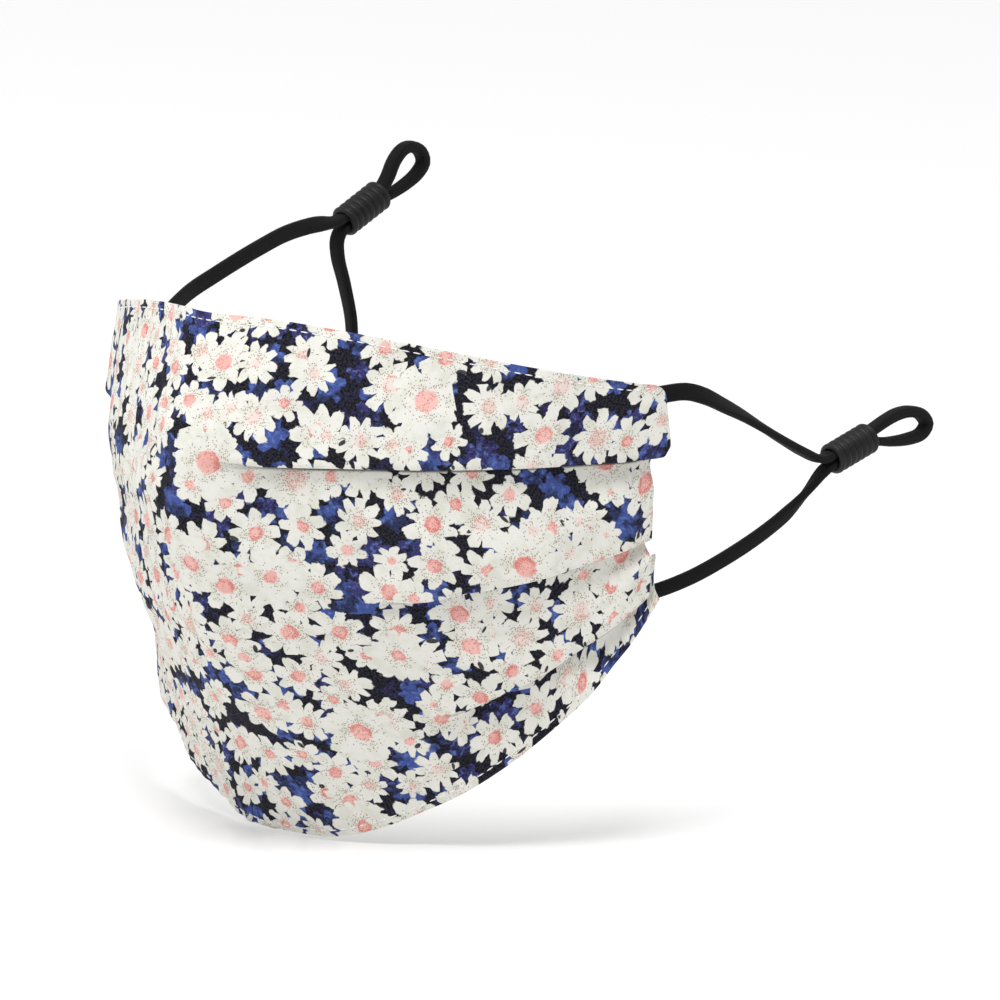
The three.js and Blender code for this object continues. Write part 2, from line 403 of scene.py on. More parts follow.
@dataclass(frozen=True)
class Flowers:
    """One scattering of flowers of about one size.

    cell: the side of the square that has one flower. radius: from its middle to a petal's tip.
    petals: the fewest and the most. present: the share of the cells that have their flower.
    shift: what sets the scattering apart from the others. notch: how near the middle the gaps
    between petals come. ragged: how uneven the edge is. centre: the core's share of the radius.
    jitter: how far a flower strays in its cell.
    """

    kind: Petal
    cell: float
    radius: float
    petals: tuple[int, int]
    present: float
    shift: float
    notch: float = 0.60
    ragged: float = 0.12
    centre: float = 0.25
    jitter: float = 0.66


@dataclass(frozen=True)
class DaisyPrint:
    """Plain weave cotton, printed with crowded ivory daisies on navy.

    thread: from one thread to the next. dot_cell: from one dot of the stipple to the next.
    gap_cell: the square with one dark sliver. open_from: how far from a flower's middle slivers
    may lie. hollow: how far below a lip the painted shadow reaches, a darkening of the cloth
    that stands in for the shade under the lip.
    """

    ivory: tuple = linear(222, 221, 214)
    shade: tuple = linear(202, 202, 188)
    navy: tuple = linear(9, 8, 27)
    indigo: tuple = linear(46, 43, 98)
    blue: tuple = linear(58, 76, 142)
    pale_blue: tuple = linear(94, 120, 182)
    rose: tuple = linear(230, 176, 168)
    coral: tuple = linear(204, 98, 90)
    olive: tuple = linear(126, 98, 78)
    thread: float = 0.42 * MM
    soft_edge: float = 0.17 * MM
    dot_cell: float = 0.46 * MM
    gap_cell: float = 9.5 * MM
    open_from: float = 3.4 * MM
    # Reach of the painted shadow under each lip.
    painted_lip_shadow: float = 1.3 * MM
    layers: tuple = (
        Flowers(Petal.DUSK, 11 * MM, 5.0 * MM, (5, 8), 0.8, 0.31),
        Flowers(Petal.DUSK, 8 * MM, 3.4 * MM, (5, 7), 0.5, 1.93),
        Flowers(Petal.IVORY, 12.8 * MM, 4.9 * MM, (6, 8), 0.7, 3.8316, jitter=0.5),
        Flowers(Petal.IVORY, 12.8 * MM, 6.5 * MM, (7, 9), 1.0, 3.71, jitter=0.5),
        Flowers(Petal.IVORY, 24 * MM, 8.6 * MM, (12, 15), 0.5, 5.43, notch=0.80),
        Flowers(Petal.IVORY, 15 * MM, 4.7 * MM, (6, 7), 0.3, 7.77),
    )

    def petals(self, sh: Shader, cloth: Expr, kind: Flowers) -> dict[str, Expr]:
        """Works out one scattering of flowers.

        Args:
            sh: The material.
            cloth: The place on the flat cloth.
            kind: The scattering.

        Returns:
            How far from the flower's middle, how far its edge is, the mask of its petals and
            three random numbers of its own.
        """
        moved = sh.vector("ADD", cloth, (kind.shift, kind.shift * 0.37, 0.0))
        settings = {"voronoi_dimensions": "2D"}
        inputs = {"Vector": moved, "Scale": 1 / kind.cell, "Randomness": kind.jitter}
        cells = sh.node("ShaderNodeTexVoronoi", settings, inputs)
        away = sh.vector("SUBTRACT", moved, sh.value(cells, "Position"))
        across, along = sh.axes(away)
        colour = sh.node("ShaderNodeSeparateColor", {}, {0: sh.value(cells, "Color")})
        first, second, third = (sh.value(colour, index) for index in range(3))
        radius = sh.math("SQRT", across * across + along * along)
        least, most = kind.petals
        count = sh.math("FLOOR", third * (most - least + 0.99) + least)
        turn = sh.math("ARCTAN2", along, across) / (2 * math.pi) + first * 7.3
        swing = sh.noise(moved, kind.radius * 0.8, 1.0, 4.0) * 0.12
        step = (turn + swing) * count
        index = sh.math("FLOOR", step) % count
        within = sh.math("FRACT", step)
        ridge = 1 - sh.math("ABSOLUTE", within * 2 - 1)
        own = sh.node("ShaderNodeCombineXYZ", {}, {0: index + first * 57.0, 1: second * 83.0})
        luck = sh.node("ShaderNodeTexWhiteNoise", {"noise_dimensions": "2D"},
                       {"Vector": own.outputs[0]})
        wide = sh.math("MINIMUM", ridge * (1.2 + sh.value(luck, "Value") * 0.8), 1.0)
        ragged = sh.noise(moved, 1.3 * MM, 2.0, 9.0) - 0.5
        reach = (wide * (1 - kind.notch) + kind.notch) * (0.84 + 0.16 * sh.value(luck, "Value"))
        edge = (reach + ragged * kind.ragged * 2.4) * (kind.radius * (0.86 + 0.28 * first))
        there = second < kind.present
        mask = sh.ramp(radius - edge, self.soft_edge, -self.soft_edge) * there
        return {"radius": radius, "edge": edge, "mask": mask, "there": there, "first": first,
                "second": second, "third": third, "within": within, "moved": moved}

    def ground(self, sh: Shader, cloth: Expr) -> Expr:
        """Paints the mottled navy ground."""
        cloudy = sh.noise(cloth, 5 * MM, 3.0, 0.8)
        return sh.mix(sh.ramp(cloudy, 0.56, 0.70) * 0.55, self.navy, self.indigo)

    def dusk(self, sh: Shader, flower: dict[str, Expr], below: Expr) -> Expr:
        """Paints blue flowers over what is below.

        Args:
            sh: The material.
            flower: The scattering, as petals gave it.
            below: The colour so far.

        Returns:
            The colour with the flowers on it.
        """
        speckle = sh.noise(flower["moved"], 1.3 * MM, 2.0, 2.2)
        cloud = sh.noise(flower["moved"], 3.4 * MM, 2.0, 6.6)
        tone = sh.mix(flower["third"] > 0.62, self.blue, self.indigo)
        tone = sh.mix(sh.ramp(speckle, 0.50, 0.66) * 0.6, tone, self.pale_blue)
        tone = sh.mix(sh.ramp(cloud, 0.56, 0.40) * 0.8, tone, self.navy)
        return sh.mix(flower["mask"], below, tone)

    def daisy(self, sh: Shader, flower: dict[str, Expr], kind: Flowers, dots: tuple[Expr, Expr],
              below: Expr) -> Expr:
        """Paints ivory flowers over what is below.

        Args:
            sh: The material.
            flower: The scattering, as petals gave it.
            kind: The scattering's sizes.
            dots: The stipple's distance from a dot and its random number.
            below: The colour so far.

        Returns:
            The colour with the flowers on it.
        """
        radius, first, third = flower["radius"], flower["first"], flower["third"]
        core = (kind.centre * kind.radius) * (0.7 + 0.6 * first)
        wobble = sh.noise(flower["moved"], 1.1 * MM, 2.0, 5.0)
        inner = radius + (wobble - 0.5) * 1.3 * MM
        streak = sh.ramp(flower["within"], 0.0, 0.12) * sh.ramp(flower["within"], 1.0, 0.88)
        cloud = sh.noise(flower["moved"], 3.6 * MM, 2.0, 7.0)
        shade = 0.5 * sh.ramp(cloud, 0.42, 0.66) + 0.16 * (1 - streak)
        shade = shade + 0.2 * sh.ramp(flower["edge"] - radius, 0.4 * MM, 0.0)
        tone = sh.mix(shade, self.ivory, self.shade)
        full = 0.3 + 0.7 * (third < 0.7)
        disc = sh.ramp(inner - core, 0.3 * MM, -0.3 * MM) * full
        rim = sh.ramp(inner / core, 0.35, 1.0) * sh.ramp(cloud, 0.40, 0.58)
        heart = sh.mix(rim * 0.8 + 0.45 * (third > 0.5) * wobble, self.rose, self.coral)
        tone = sh.mix(disc * 0.9, tone, heart)
        lean = 0.25 + 0.75 * sh.ramp(cloud, 0.36, 0.60)
        near = sh.ramp(radius, core * 2.4 + 1.0 * MM, core * 0.9) * lean
        distance, luck = dots
        spot = sh.ramp(distance, 0.44, 0.26) * (luck < near * 0.8)
        speck = sh.mix((radius < core * 1.25) * 0.75, self.olive, self.coral)
        tone = sh.mix(spot * 0.72, tone, speck)
        return sh.mix(flower["mask"], below, tone)

    def slivers(self, sh: Shader, cloth: Expr, allowed: Expr, below: Expr) -> Expr:
        """Leaves small dark gaps between petals.

        Args:
            sh: The material.
            cloth: The place on the flat cloth.
            allowed: Where a gap may be, 1 or 0.
            below: The colour so far.

        Returns:
            The colour with the gaps in it.
        """
        moved = sh.vector("ADD", cloth, (11.3, 4.9, 0.0))
        cells = sh.node("ShaderNodeTexVoronoi", {"voronoi_dimensions": "2D"},
                        {"Vector": moved, "Scale": 1 / self.gap_cell, "Randomness": 0.9})
        away = sh.vector("SUBTRACT", moved, sh.value(cells, "Position"))
        across, along = sh.axes(away)
        colour = sh.node("ShaderNodeSeparateColor", {}, {0: sh.value(cells, "Color")})
        first, second, third = (sh.value(colour, index) for index in range(3))
        turn = first * (2 * math.pi)
        cosine, sine = sh.math("COSINE", turn), sh.math("SINE", turn)
        long = (across * cosine + along * sine) / (0.5 * MM + 1.1 * MM * third)
        wide = (along * cosine - across * sine) / (0.32 * MM + 0.3 * MM * first)
        mask = sh.ramp(sh.math("SQRT", long * long + wide * wide), 1.15, 0.8) * (second < 0.6)
        return sh.mix(mask * allowed * 0.95, below, self.navy)

    def material(self) -> bpy.types.Material:
        """Builds the printed cotton.

        Returns:
            The material.
        """
        sh = Shader("printed_cotton")
        cloth = sh.coordinates("cloth")
        grain = sh.node("ShaderNodeTexVoronoi", {"voronoi_dimensions": "2D"},
                        {"Vector": cloth, "Scale": 1 / self.dot_cell, "Randomness": 1.0})
        luck = sh.node("ShaderNodeSeparateColor", {}, {0: sh.value(grain, "Color")})
        dots = (sh.value(grain, "Distance"), sh.value(luck, 0))
        colour = self.ground(sh, cloth)
        for order, kind in enumerate(self.layers):
            flower = self.petals(sh, cloth, kind)
            if kind.kind is Petal.DUSK:
                colour = self.dusk(sh, flower, colour)
            else:
                colour = self.daisy(sh, flower, kind, dots, colour)
            if order == 3:
                colour = self.slivers(sh, cloth, flower["radius"] > self.open_from, colour)
        # Painted shadow: just below each folded lip the cloth is darkened towards navy, standing in
        # for the shade under the lip.
        below_lip, folded = sh.axes(sh.coordinates("folds"))
        painted_lip_shadow = sh.ramp(below_lip, self.painted_lip_shadow, 0.5 * self.painted_lip_shadow) * folded
        colour = sh.mix(painted_lip_shadow * 0.85, colour, self.navy)
        faded = sh.noise(cloth, 0.5 * MM, 2.0, 3.3)
        colour = sh.mix(sh.ramp(faded, 0.3, 0.75) * 0.05, colour, self.shade)
        return sh.finish({"Base Color": colour, "Roughness": 0.88, "Sheen Weight": 0.03,
                          "Sheen Roughness": 0.4, "Specular IOR Level": 0.08},
                         weave_relief(sh, cloth, self.thread), 0.05 * MM)


def weave_relief(sh: Shader, cloth: Expr, thread: float) -> Expr:
    """Raises the threads of a plain weave.

    Args:
        sh: The material.
        cloth: The place on the flat cloth.
        thread: The distance from one thread to the next.

    Returns:
        The height, from 0 to 1.
    """
    across, along = sh.axes(cloth)
    warp = sh.math("SINE", across * (2 * math.pi / thread))
    weft = sh.math("SINE", along * (2 * math.pi / thread))
    slub = sh.noise(cloth, 1.6 * MM, 3.0, 1.1)
    return (warp * weft) * 0.35 + slub * 0.25


@dataclass(frozen=True)
class PlainCotton:
    """The undyed cotton of the side that lies on the face."""

    tone: tuple = linear(240, 239, 233)
    shade: tuple = linear(222, 220, 210)
    thread: float = 0.42 * MM

    def material(self) -> bpy.types.Material:
        """Builds the plain cotton.

        Returns:
            The material.
        """
        sh = Shader("plain_cotton")
        cloth = sh.coordinates("cloth")
        fleck = sh.noise(cloth, 1.2 * MM, 4.0, 2.0)
        colour = sh.mix(sh.ramp(fleck, 0.35, 0.75) * 0.6, self.tone, self.shade)
        return sh.finish({"Base Color": colour, "Roughness": 0.9, "Sheen Weight": 0.15,
                          "Specular IOR Level": 0.25},
                         weave_relief(sh, cloth, self.thread), 0.06 * MM)


@dataclass(frozen=True)
class SewingThread:
    """White polyester thread of the machine stitches."""

    tone: tuple = linear(246, 246, 242)
    shade: tuple = linear(214, 214, 206)

    def material(self) -> bpy.types.Material:
        """Builds the thread, with the twist of its plies.

        Returns:
            The material.
        """
        sh = Shader("sewing_thread")
        place = sh.value(sh.node("ShaderNodeTexCoord"), "Object")
        ply = sh.noise(place, 0.25 * MM, 2.0)
        colour = sh.mix(sh.ramp(ply, 0.4, 0.65), self.tone, self.shade)
        return sh.finish({"Base Color": colour, "Roughness": 0.55}, ply, 0.03 * MM)


@dataclass(frozen=True)
class KnittedElastic:
    """Matt black knitted elastic, with ribs along it and courses across it."""

    tone: tuple = linear(10, 10, 11)
    # The painted highlight on the knit's crests; lint flecks take it too.
    light: tuple = linear(27, 27, 29)
    rib: float = 0.62 * MM
    course: float = 0.55 * MM

    def material(self) -> bpy.types.Material:
        """Builds the elastic.

        Returns:
            The material.
        """
        sh = Shader("black_elastic")
        cloth = sh.coordinates("cloth")
        around, along = sh.axes(cloth)
        ribs = sh.math("SINE", around * (2 * math.pi / self.rib)) * 0.5 + 0.5
        slant = sh.math("ABSOLUTE", sh.math("SINE", around * (math.pi / self.rib)))
        courses = sh.math("SINE", (along + slant * 0.2 * MM) * (2 * math.pi / self.course))
        relief = ribs * 0.6 + (courses * 0.5 + 0.5) * 0.4
        lint = sh.noise(cloth, 0.5 * MM, 3.0, 0.4)
        # Painted highlight: the crests of the ribs and courses are painted lighter, as light would
        # catch them; lint flecks are paler fibres.
        colour = sh.mix(relief * 0.45 + sh.ramp(lint, 0.55, 0.8) * 0.4, self.tone, self.light)
        return sh.finish({"Base Color": colour, "Roughness": 0.85, "Sheen Weight": 0.04,
                          "Sheen Roughness": 0.5, "Specular IOR Level": 0.12},
                         relief, 0.09 * MM)


@dataclass(frozen=True)
class MouldedRubber:
    """Satin black rubber of the adjusters."""

    tone: tuple = linear(11, 11, 12)
    worn: tuple = linear(24, 24, 26)

    def material(self) -> bpy.types.Material:
        """Builds the rubber.

        Returns:
            The material.
        """
        sh = Shader("black_rubber")
        place = sh.value(sh.node("ShaderNodeTexCoord"), "Object")
        grain = sh.noise(place, 0.35 * MM, 3.0)
        dust = sh.noise(place, 2.2 * MM, 3.0, 0.2)
        colour = sh.mix(sh.ramp(dust, 0.45, 0.7) * 0.6, self.tone, self.worn)
        rough = 0.42 + 0.18 * dust
        return sh.finish({"Base Color": colour, "Roughness": rough, "Specular IOR Level": 0.3},
                         grain, 0.02 * MM)


# ---- The worn form ----------------------------------------------------------------------------


@dataclass(frozen=True)
class CrossLine:
    """A line across the mask; each half is one curve from the ridge to the side.

    Its numbers are millimetres and degrees. front: how far it stands before the ears' plane at
    the ridge, and how far down. side_end: how far out its end is, and how far down. ridge and
    side: the angle off straight across by which it leaves the ridge and reaches the side, how
    far it keeps that heading, and how far it drops on the way.
    """

    front: tuple[float, float]
    ridge: tuple[float, float, float]
    side_end: tuple[float, float]
    side: tuple[float, float, float]

    def half(self, samples: int = 400) -> np.ndarray:
        """Gives the points of the wearer's left half, evenly spaced.

        Args:
            samples: The number of points.

        Returns:
            The points, from the ridge to the side, in metres.
        """
        forward, down = self.front
        turn, reach, fall = self.ridge
        out, side_down = self.side_end
        side_turn, side_reach, side_fall = self.side
        near, far = math.radians(turn), math.radians(side_turn)
        corners = np.array([
            (0, -forward, -down),
            (reach * math.cos(near), reach * math.sin(near) - forward, -down - fall),
            (out - side_reach * math.cos(far), -side_reach * math.sin(far),
             -side_down - side_fall),
            (out, 0, -side_down),
        ]) * MM
        share = np.linspace(0, 1, samples)[:, None]
        rest = 1 - share
        curve = (rest ** 3 * corners[0] + 3 * rest ** 2 * share * corners[1]
                 + 3 * rest * share ** 2 * corners[2] + share ** 3 * corners[3])
        return even_points(curve, samples)


@dataclass(frozen=True)
class KnifePleat:
    """A pleat that hangs from a lip line.

    opens: the share of the way from the ridge to the side where it begins.
    closed: where it is first folded flat. depth: how far its cloth turns back at the side.
    later: how much nearer the side it begins and closes on the wearer's right half.
    """

    lip: int
    opens: float
    closed: float
    depth: float
    later: float


@dataclass(frozen=True)
class Crease:
    """A soft crease of the cloth.

    Its points are places across the mask, from -1 to 1, and levels down it: 0 is the top edge,
    1 to 3 are the three lips and 4 is the edge under the chin. It dies away at both ends.
    """

    points: tuple[tuple[float, float], ...]
    width: float
    height: float


@dataclass
class WornForm:
    """The form that the cloth takes over nose, cheeks and chin."""

    lines: tuple[CrossLine, ...] = (
        CrossLine((69, 0), (31, 32, 2), (72, 17.8), (76, 40, -8)),
        CrossLine((81, 32.5), (36, 38, 0), (72, 34.5), (78, 43, -1)),
        CrossLine((73, 67), (26, 36, 0), (71, 53.5), (76, 35, 8)),
        CrossLine((52, 103), (12, 21, 1), (71, 67), (72, 27, 19)),
        CrossLine((40, 124.5), (4, 19, 2), (73, 70.5), (68, 25, 35)),
    )
    softness: float = 0.05
    steps: int = 60
    halves: list[np.ndarray] = field(default_factory=list)

    def __post_init__(self) -> None:
        """Works out the lines' halves."""
        self.halves = [line.half() for line in self.lines]

    def line_points(self, index: int, across: np.ndarray) -> np.ndarray:
        """Gives points of one line.

        Args:
            index: The line's number from the top.
            across: Places across the mask, from -1 at the right side to 1 at the left.

        Returns:
            The points, with the two halves meeting in a rounded ridge.
        """
        share = np.abs(across)
        reach = math.hypot(1, self.softness) - self.softness
        soft = (np.hypot(share, self.softness) - self.softness) / reach
        half = self.halves[index]
        even = np.linspace(0, 1, len(half))
        out = np.interp(share, even, half[:, 0]) * np.sign(across)
        return np.stack([out, np.interp(soft, even, half[:, 1]),
                         np.interp(soft, even, half[:, 2])], axis=1)

    def sections(self, across: np.ndarray) -> tuple[np.ndarray, np.ndarray]:
        """Gives upright sections through the five lines.

        Args:
            across: Places across the mask.

        Returns:
            The sections' points by place, and their distances down the section.
        """
        knots = [self.line_points(index, across) for index in range(len(self.lines))]
        points = curve_through(knots, self.steps)
        return points, distances(points)

    def stops(self, lengths: np.ndarray) -> np.ndarray:
        """Gives how far down each section the lines are."""
        return lengths[:, :: self.steps]

    def surface(self, across: np.ndarray, share: np.ndarray) -> np.ndarray:
        """Gives points of the form.

        Args:
            across: Places across the mask, one for each column.
            share: Shares of the way down the section, by row and column.

        Returns:
            The points by row and column.
        """
        points, lengths = self.sections(across)
        made = np.zeros((*share.shape, 3))
        for column in range(len(across)):
            at = share[:, column] * lengths[column, -1]
            for axis in range(3):
                made[:, column, axis] = np.interp(at, lengths[column], points[column, :, axis])
        return made


# ---- The panel --------------------------------------------------------------------------------


@dataclass
class MaskPanel:
    """The mask's one panel of cloth, laid in three knife pleats.

    gap: the air between two layers. end_reach: how far the top and bottom bands reach past the
    folded middle at the left side, from reach_from on; right_reach is the right side's share of
    it. corner and chamfer: how the top band's end is rounded and slanted. unshaded: where,
    across, the painted shadow under the lips fades before the side edge. clear: a distance below
    any lip, given to the points that get no painted shadow. edge: how far the cut edges are
    rounded.
    """

    form: WornForm = field(default_factory=WornForm)
    thickness: float = 0.65 * MM
    gap: float = 0.60 * MM
    columns: int = 215
    band_steps: int = 30
    fold_steps: int = 6
    return_steps: int = 4
    least_return: float = 0.4 * MM
    clearance: float = 1.2 * MM
    half_width: float = 105 * MM
    flat: tuple[float, float] = (0.210, 0.133)
    end_reach: float = 3.5 * MM
    reach_from: float = 0.93
    right_reach: float = 0.15
    corner: float = 3.0 * MM
    chamfer: float = 2.2 * MM
    unshaded: tuple[float, float] = (0.95, 0.985)
    slant: float = 0.7
    clear: float = 10 * MM
    edge: float = 0.28 * MM
    pleats: tuple[KnifePleat, ...] = (
        KnifePleat(1, 0.05, 0.30, 9.5 * MM, 0.60),
        KnifePleat(2, 0.34, 0.60, 9.5 * MM, 0.34),
        KnifePleat(3, 0.40, 0.68, 7.0 * MM, 0.28),
    )
    creases: tuple[Crease, ...] = (
        Crease(((0.22, 2.30), (0.34, 2.12), (0.46, 2.00)), 1.5 * MM, -0.95 * MM),
        Crease(((0.24, 2.38), (0.35, 2.22), (0.46, 2.09)), 1.3 * MM, 0.55 * MM),
        Crease(((0.26, 2.46), (0.36, 2.31), (0.47, 2.18)), 1.5 * MM, -0.75 * MM),
        Crease(((0.30, 2.58), (0.40, 2.42), (0.48, 2.30)), 1.6 * MM, -0.4 * MM),
        Crease(((0.34, 3.22), (0.44, 3.08), (0.52, 2.99)), 1.8 * MM, -0.8 * MM),
        Crease(((0.29, 3.84), (0.38, 3.70), (0.46, 3.65), (0.53, 3.70), (0.60, 3.74)),
               1.6 * MM, -0.95 * MM),
        Crease(((0.31, 3.74), (0.39, 3.60), (0.46, 3.56), (0.54, 3.60)), 1.8 * MM, 0.5 * MM),
        Crease(((-0.02, 0.08), (-0.05, 0.50), (-0.08, 0.95)), 1.4 * MM, -0.6 * MM),
        Crease(((-0.10, 0.12), (-0.13, 0.60), (-0.12, 0.95)), 1.4 * MM, -0.55 * MM),
        Crease(((-0.17, 0.10), (-0.20, 0.55), (-0.18, 0.92)), 1.5 * MM, -0.45 * MM),
        Crease(((-0.13, 0.88), (-0.06, 1.06), (0.00, 1.16)), 1.4 * MM, -0.95 * MM),
        Crease(((-0.13, 1.22), (-0.06, 1.10), (0.01, 1.01)), 1.3 * MM, -0.7 * MM),
        Crease(((-0.30, 0.20), (-0.33, 0.85)), 2.0 * MM, -0.4 * MM),
        Crease(((-0.07, 1.30), (-0.10, 1.95)), 1.8 * MM, -0.5 * MM),
        Crease(((-0.16, 1.40), (-0.19, 2.20)), 1.9 * MM, -0.5 * MM),
        Crease(((-0.04, 2.00), (-0.07, 2.80)), 1.8 * MM, -0.4 * MM),
        Crease(((-0.30, 2.35), (-0.50, 2.05)), 1.8 * MM, -0.6 * MM),
        Crease(((-0.33, 3.75), (-0.56, 3.72)), 1.8 * MM, -0.7 * MM),
        Crease(((0.85, 0.40), (0.97, 0.22)), 1.5 * MM, -0.35 * MM),
        Crease(((0.83, 2.32), (0.97, 2.14)), 1.5 * MM, -0.5 * MM),
        Crease(((0.78, 2.82), (0.93, 2.58)), 1.5 * MM, -0.5 * MM),
        Crease(((0.80, 3.42), (0.97, 3.16)), 1.4 * MM, -0.45 * MM),
        Crease(((-0.83, 2.32), (-0.97, 2.14)), 1.5 * MM, -0.5 * MM),
        Crease(((-0.80, 3.42), (-0.97, 3.16)), 1.4 * MM, -0.45 * MM),
        Crease(((0.11, 3.50), (0.19, 3.92)), 2.2 * MM, -0.4 * MM),
    )
    middle: np.ndarray | None = None
    normal: np.ndarray | None = None
    uv: np.ndarray | None = None
    # The places of the painted shadow under the lips.
    folds: np.ndarray | None = None

    def places_across(self) -> np.ndarray:
        """Gives the columns' places, closer together at the sides and the ridge."""
        even = np.linspace(-1, 1, self.columns)
        return even - 0.35 * np.sin(2 * np.pi * even) / (2 * np.pi)

    def fold(self, turn: float, back: float) -> np.ndarray:
        """Walks round one pleat's two folds.

        Args:
            turn: How far the cloth turns, in radians.
            back: The straight stretch between the two folds.

        Returns:
            Rows of how far down, how far off and the heading, from the first fold's start.
        """
        arc = math.pi * (self.thickness + self.gap) / 2
        rows = [(0.0, 0.0, 0.0)]

        def bend(start: float, end: float) -> None:
            """Adds one arc.

            Args:
                start: The heading where it begins.
                end: The heading where it ends.
            """
            for step in range(1, self.fold_steps + 1):
                down, off, _ = rows[-1]
                heading = start + (end - start) * (step - 0.5) / self.fold_steps
                length = arc / self.fold_steps
                rows.append((down + length * math.cos(heading), off - length * math.sin(heading),
                             start + (end - start) * step / self.fold_steps))

        bend(0, turn)
        for _ in range(self.return_steps):
            down, off, _ = rows[-1]
            length = back / self.return_steps
            rows.append((down + length * math.cos(turn), off - length * math.sin(turn), turn))
        bend(turn, 0)
        return np.array(rows)

    def path(self, across: float, stops: np.ndarray) -> np.ndarray:
        """Walks down one section of the cloth.

        Args:
            across: The section's place across the mask.
            stops: How far down the lines are.

        Returns:
            Rows of how far down, how far off the form and the heading.
        """
        share = abs(across)
        folds = []
        for pleat in self.pleats:
            later = pleat.later if across < 0 else 0.0
            opens, closed = pleat.opens + later, pleat.closed + later
            turn = math.pi * float(smooth_step(share, opens, closed))
            deep = max(0.0, (share - closed) / (1 - closed))
            folds.append(self.fold(turn, self.least_return + pleat.depth * deep))
        rows = [(0.0, -folds[0][-1, 1], 0.0)]
        lip_before = None
        for pleat, fold in zip(self.pleats, folds):
            drop = -fold[-1, 1]
            lip = stops[pleat.lip]
            start = lip - fold[: self.fold_steps + 1, 0].max()
            down, off, _ = rows[-1]
            climb_from = 0.0 if lip_before is None else max(lip_before + self.clearance, down)
            climb_to = max(start + min(fold[-1, 0], 0) - 1.0 * MM, climb_from + 1.0 * MM)
            rows.extend(self.band(down, start, climb_from, climb_to, off, drop))
            rows.extend((d + start, o + drop, h) for d, o, h in fold[1:])
            lip_before = lip
        down = rows[-1][0]
        rows.extend(self.band(down, stops[-1], down, stops[-1], 0.0, 0.0))
        return np.array(rows)

    def band(self, start: float, end: float, climb_from: float, climb_to: float, low: float,
             high: float) -> list[tuple[float, float, float]]:
        """Walks down the plain cloth between two pleats.

        Args:
            start: Where the band begins.
            end: Where it ends.
            climb_from: Where it starts to climb over the layer below.
            climb_to: Where it has climbed.
            low: How far off the form it begins.
            high: How far off the form it ends.

        Returns:
            Rows of how far down, how far off and the heading.
        """
        downs = start + (end - start) * np.arange(1, self.band_steps + 1) / self.band_steps
        offs = low + (high - low) * smooth_step(downs, climb_from, climb_to)
        nearby = low + (high - low) * smooth_step(downs + 0.1 * MM, climb_from, climb_to)
        return list(zip(downs, offs, -np.arctan((nearby - offs) / (0.1 * MM))))

    def crease_heights(self, across: np.ndarray, down: np.ndarray, stops: np.ndarray
                       ) -> np.ndarray:
        """Adds up the creases and the cloth's slight unevenness.

        Args:
            across: The columns' places.
            down: How far down, by row and column.
            stops: How far down the lines are, by column.

        Returns:
            The height of the relief, by row and column, in metres.
        """
        wide = np.broadcast_to(across * self.half_width, down.shape)
        height = np.zeros_like(down)
        draws = np.random.default_rng(7)
        for wavelength, size in ((34, 0.34), (23, 0.26), (15, 0.16), (9, 0.08), (6, 0.05)):
            for _ in range(3):
                turn, phase = draws.uniform(0, 2 * np.pi, 2)
                wave = (wide * math.cos(turn) + down * math.sin(turn)) / (wavelength * MM)
                height += size * MM * 0.6 * np.sin(2 * np.pi * wave + phase)
        pinched = smooth_step(-wide[0], 0.0, 6 * MM) * (1 - smooth_step(-wide[0], 45 * MM, 70 * MM))
        for wavelength in (7.1, 5.3, 4.2):
            slant, phase = draws.uniform(-0.35, 0.35), draws.uniform(0, 2 * np.pi)
            sway = 1.6 * MM * np.sin(down / (6.5 * MM) + phase)
            wave = (wide + down * slant + sway) / (wavelength * MM)
            height += 0.13 * MM * pinched * np.sin(2 * np.pi * wave + phase)
        for crease in self.creases:
            knots = []
            for place, level in crease.points:
                row = np.array([np.interp(place, across, stops[:, n]) for n in range(5)])
                knots.append((place * self.half_width, np.interp(level, range(5), row)))
            height += self.crease_relief(wide, down, np.array(knots), crease)
        return height

    def crease_relief(self, wide: np.ndarray, down: np.ndarray, knots: np.ndarray,
                      crease: Crease) -> np.ndarray:
        """Works out one crease.

        Args:
            wide: How far across, by row and column.
            down: How far down, by row and column.
            knots: The crease's points in the same measures.
            crease: The crease.

        Returns:
            Its height by row and column.
        """
        lengths = np.linalg.norm(np.diff(knots, axis=0), axis=1)
        whole, passed = lengths.sum(), 0.0
        nearest = np.full(wide.shape, np.inf)
        along = np.zeros(wide.shape)
        for start, end, length in zip(knots, knots[1:], lengths):
            way = (end - start) / length
            share = np.clip((wide - start[0]) * way[0] + (down - start[1]) * way[1], 0, length)
            away = np.hypot(wide - start[0] - way[0] * share, down - start[1] - way[1] * share)
            closer = away < nearest
            nearest = np.where(closer, away, nearest)
            along = np.where(closer, (passed + share) / whole, along)
            passed += length
        taper = np.sin(np.pi * np.clip(along, 0, 1)) ** 0.6
        return crease.height * taper * np.exp(-((nearest / crease.width) ** 2))

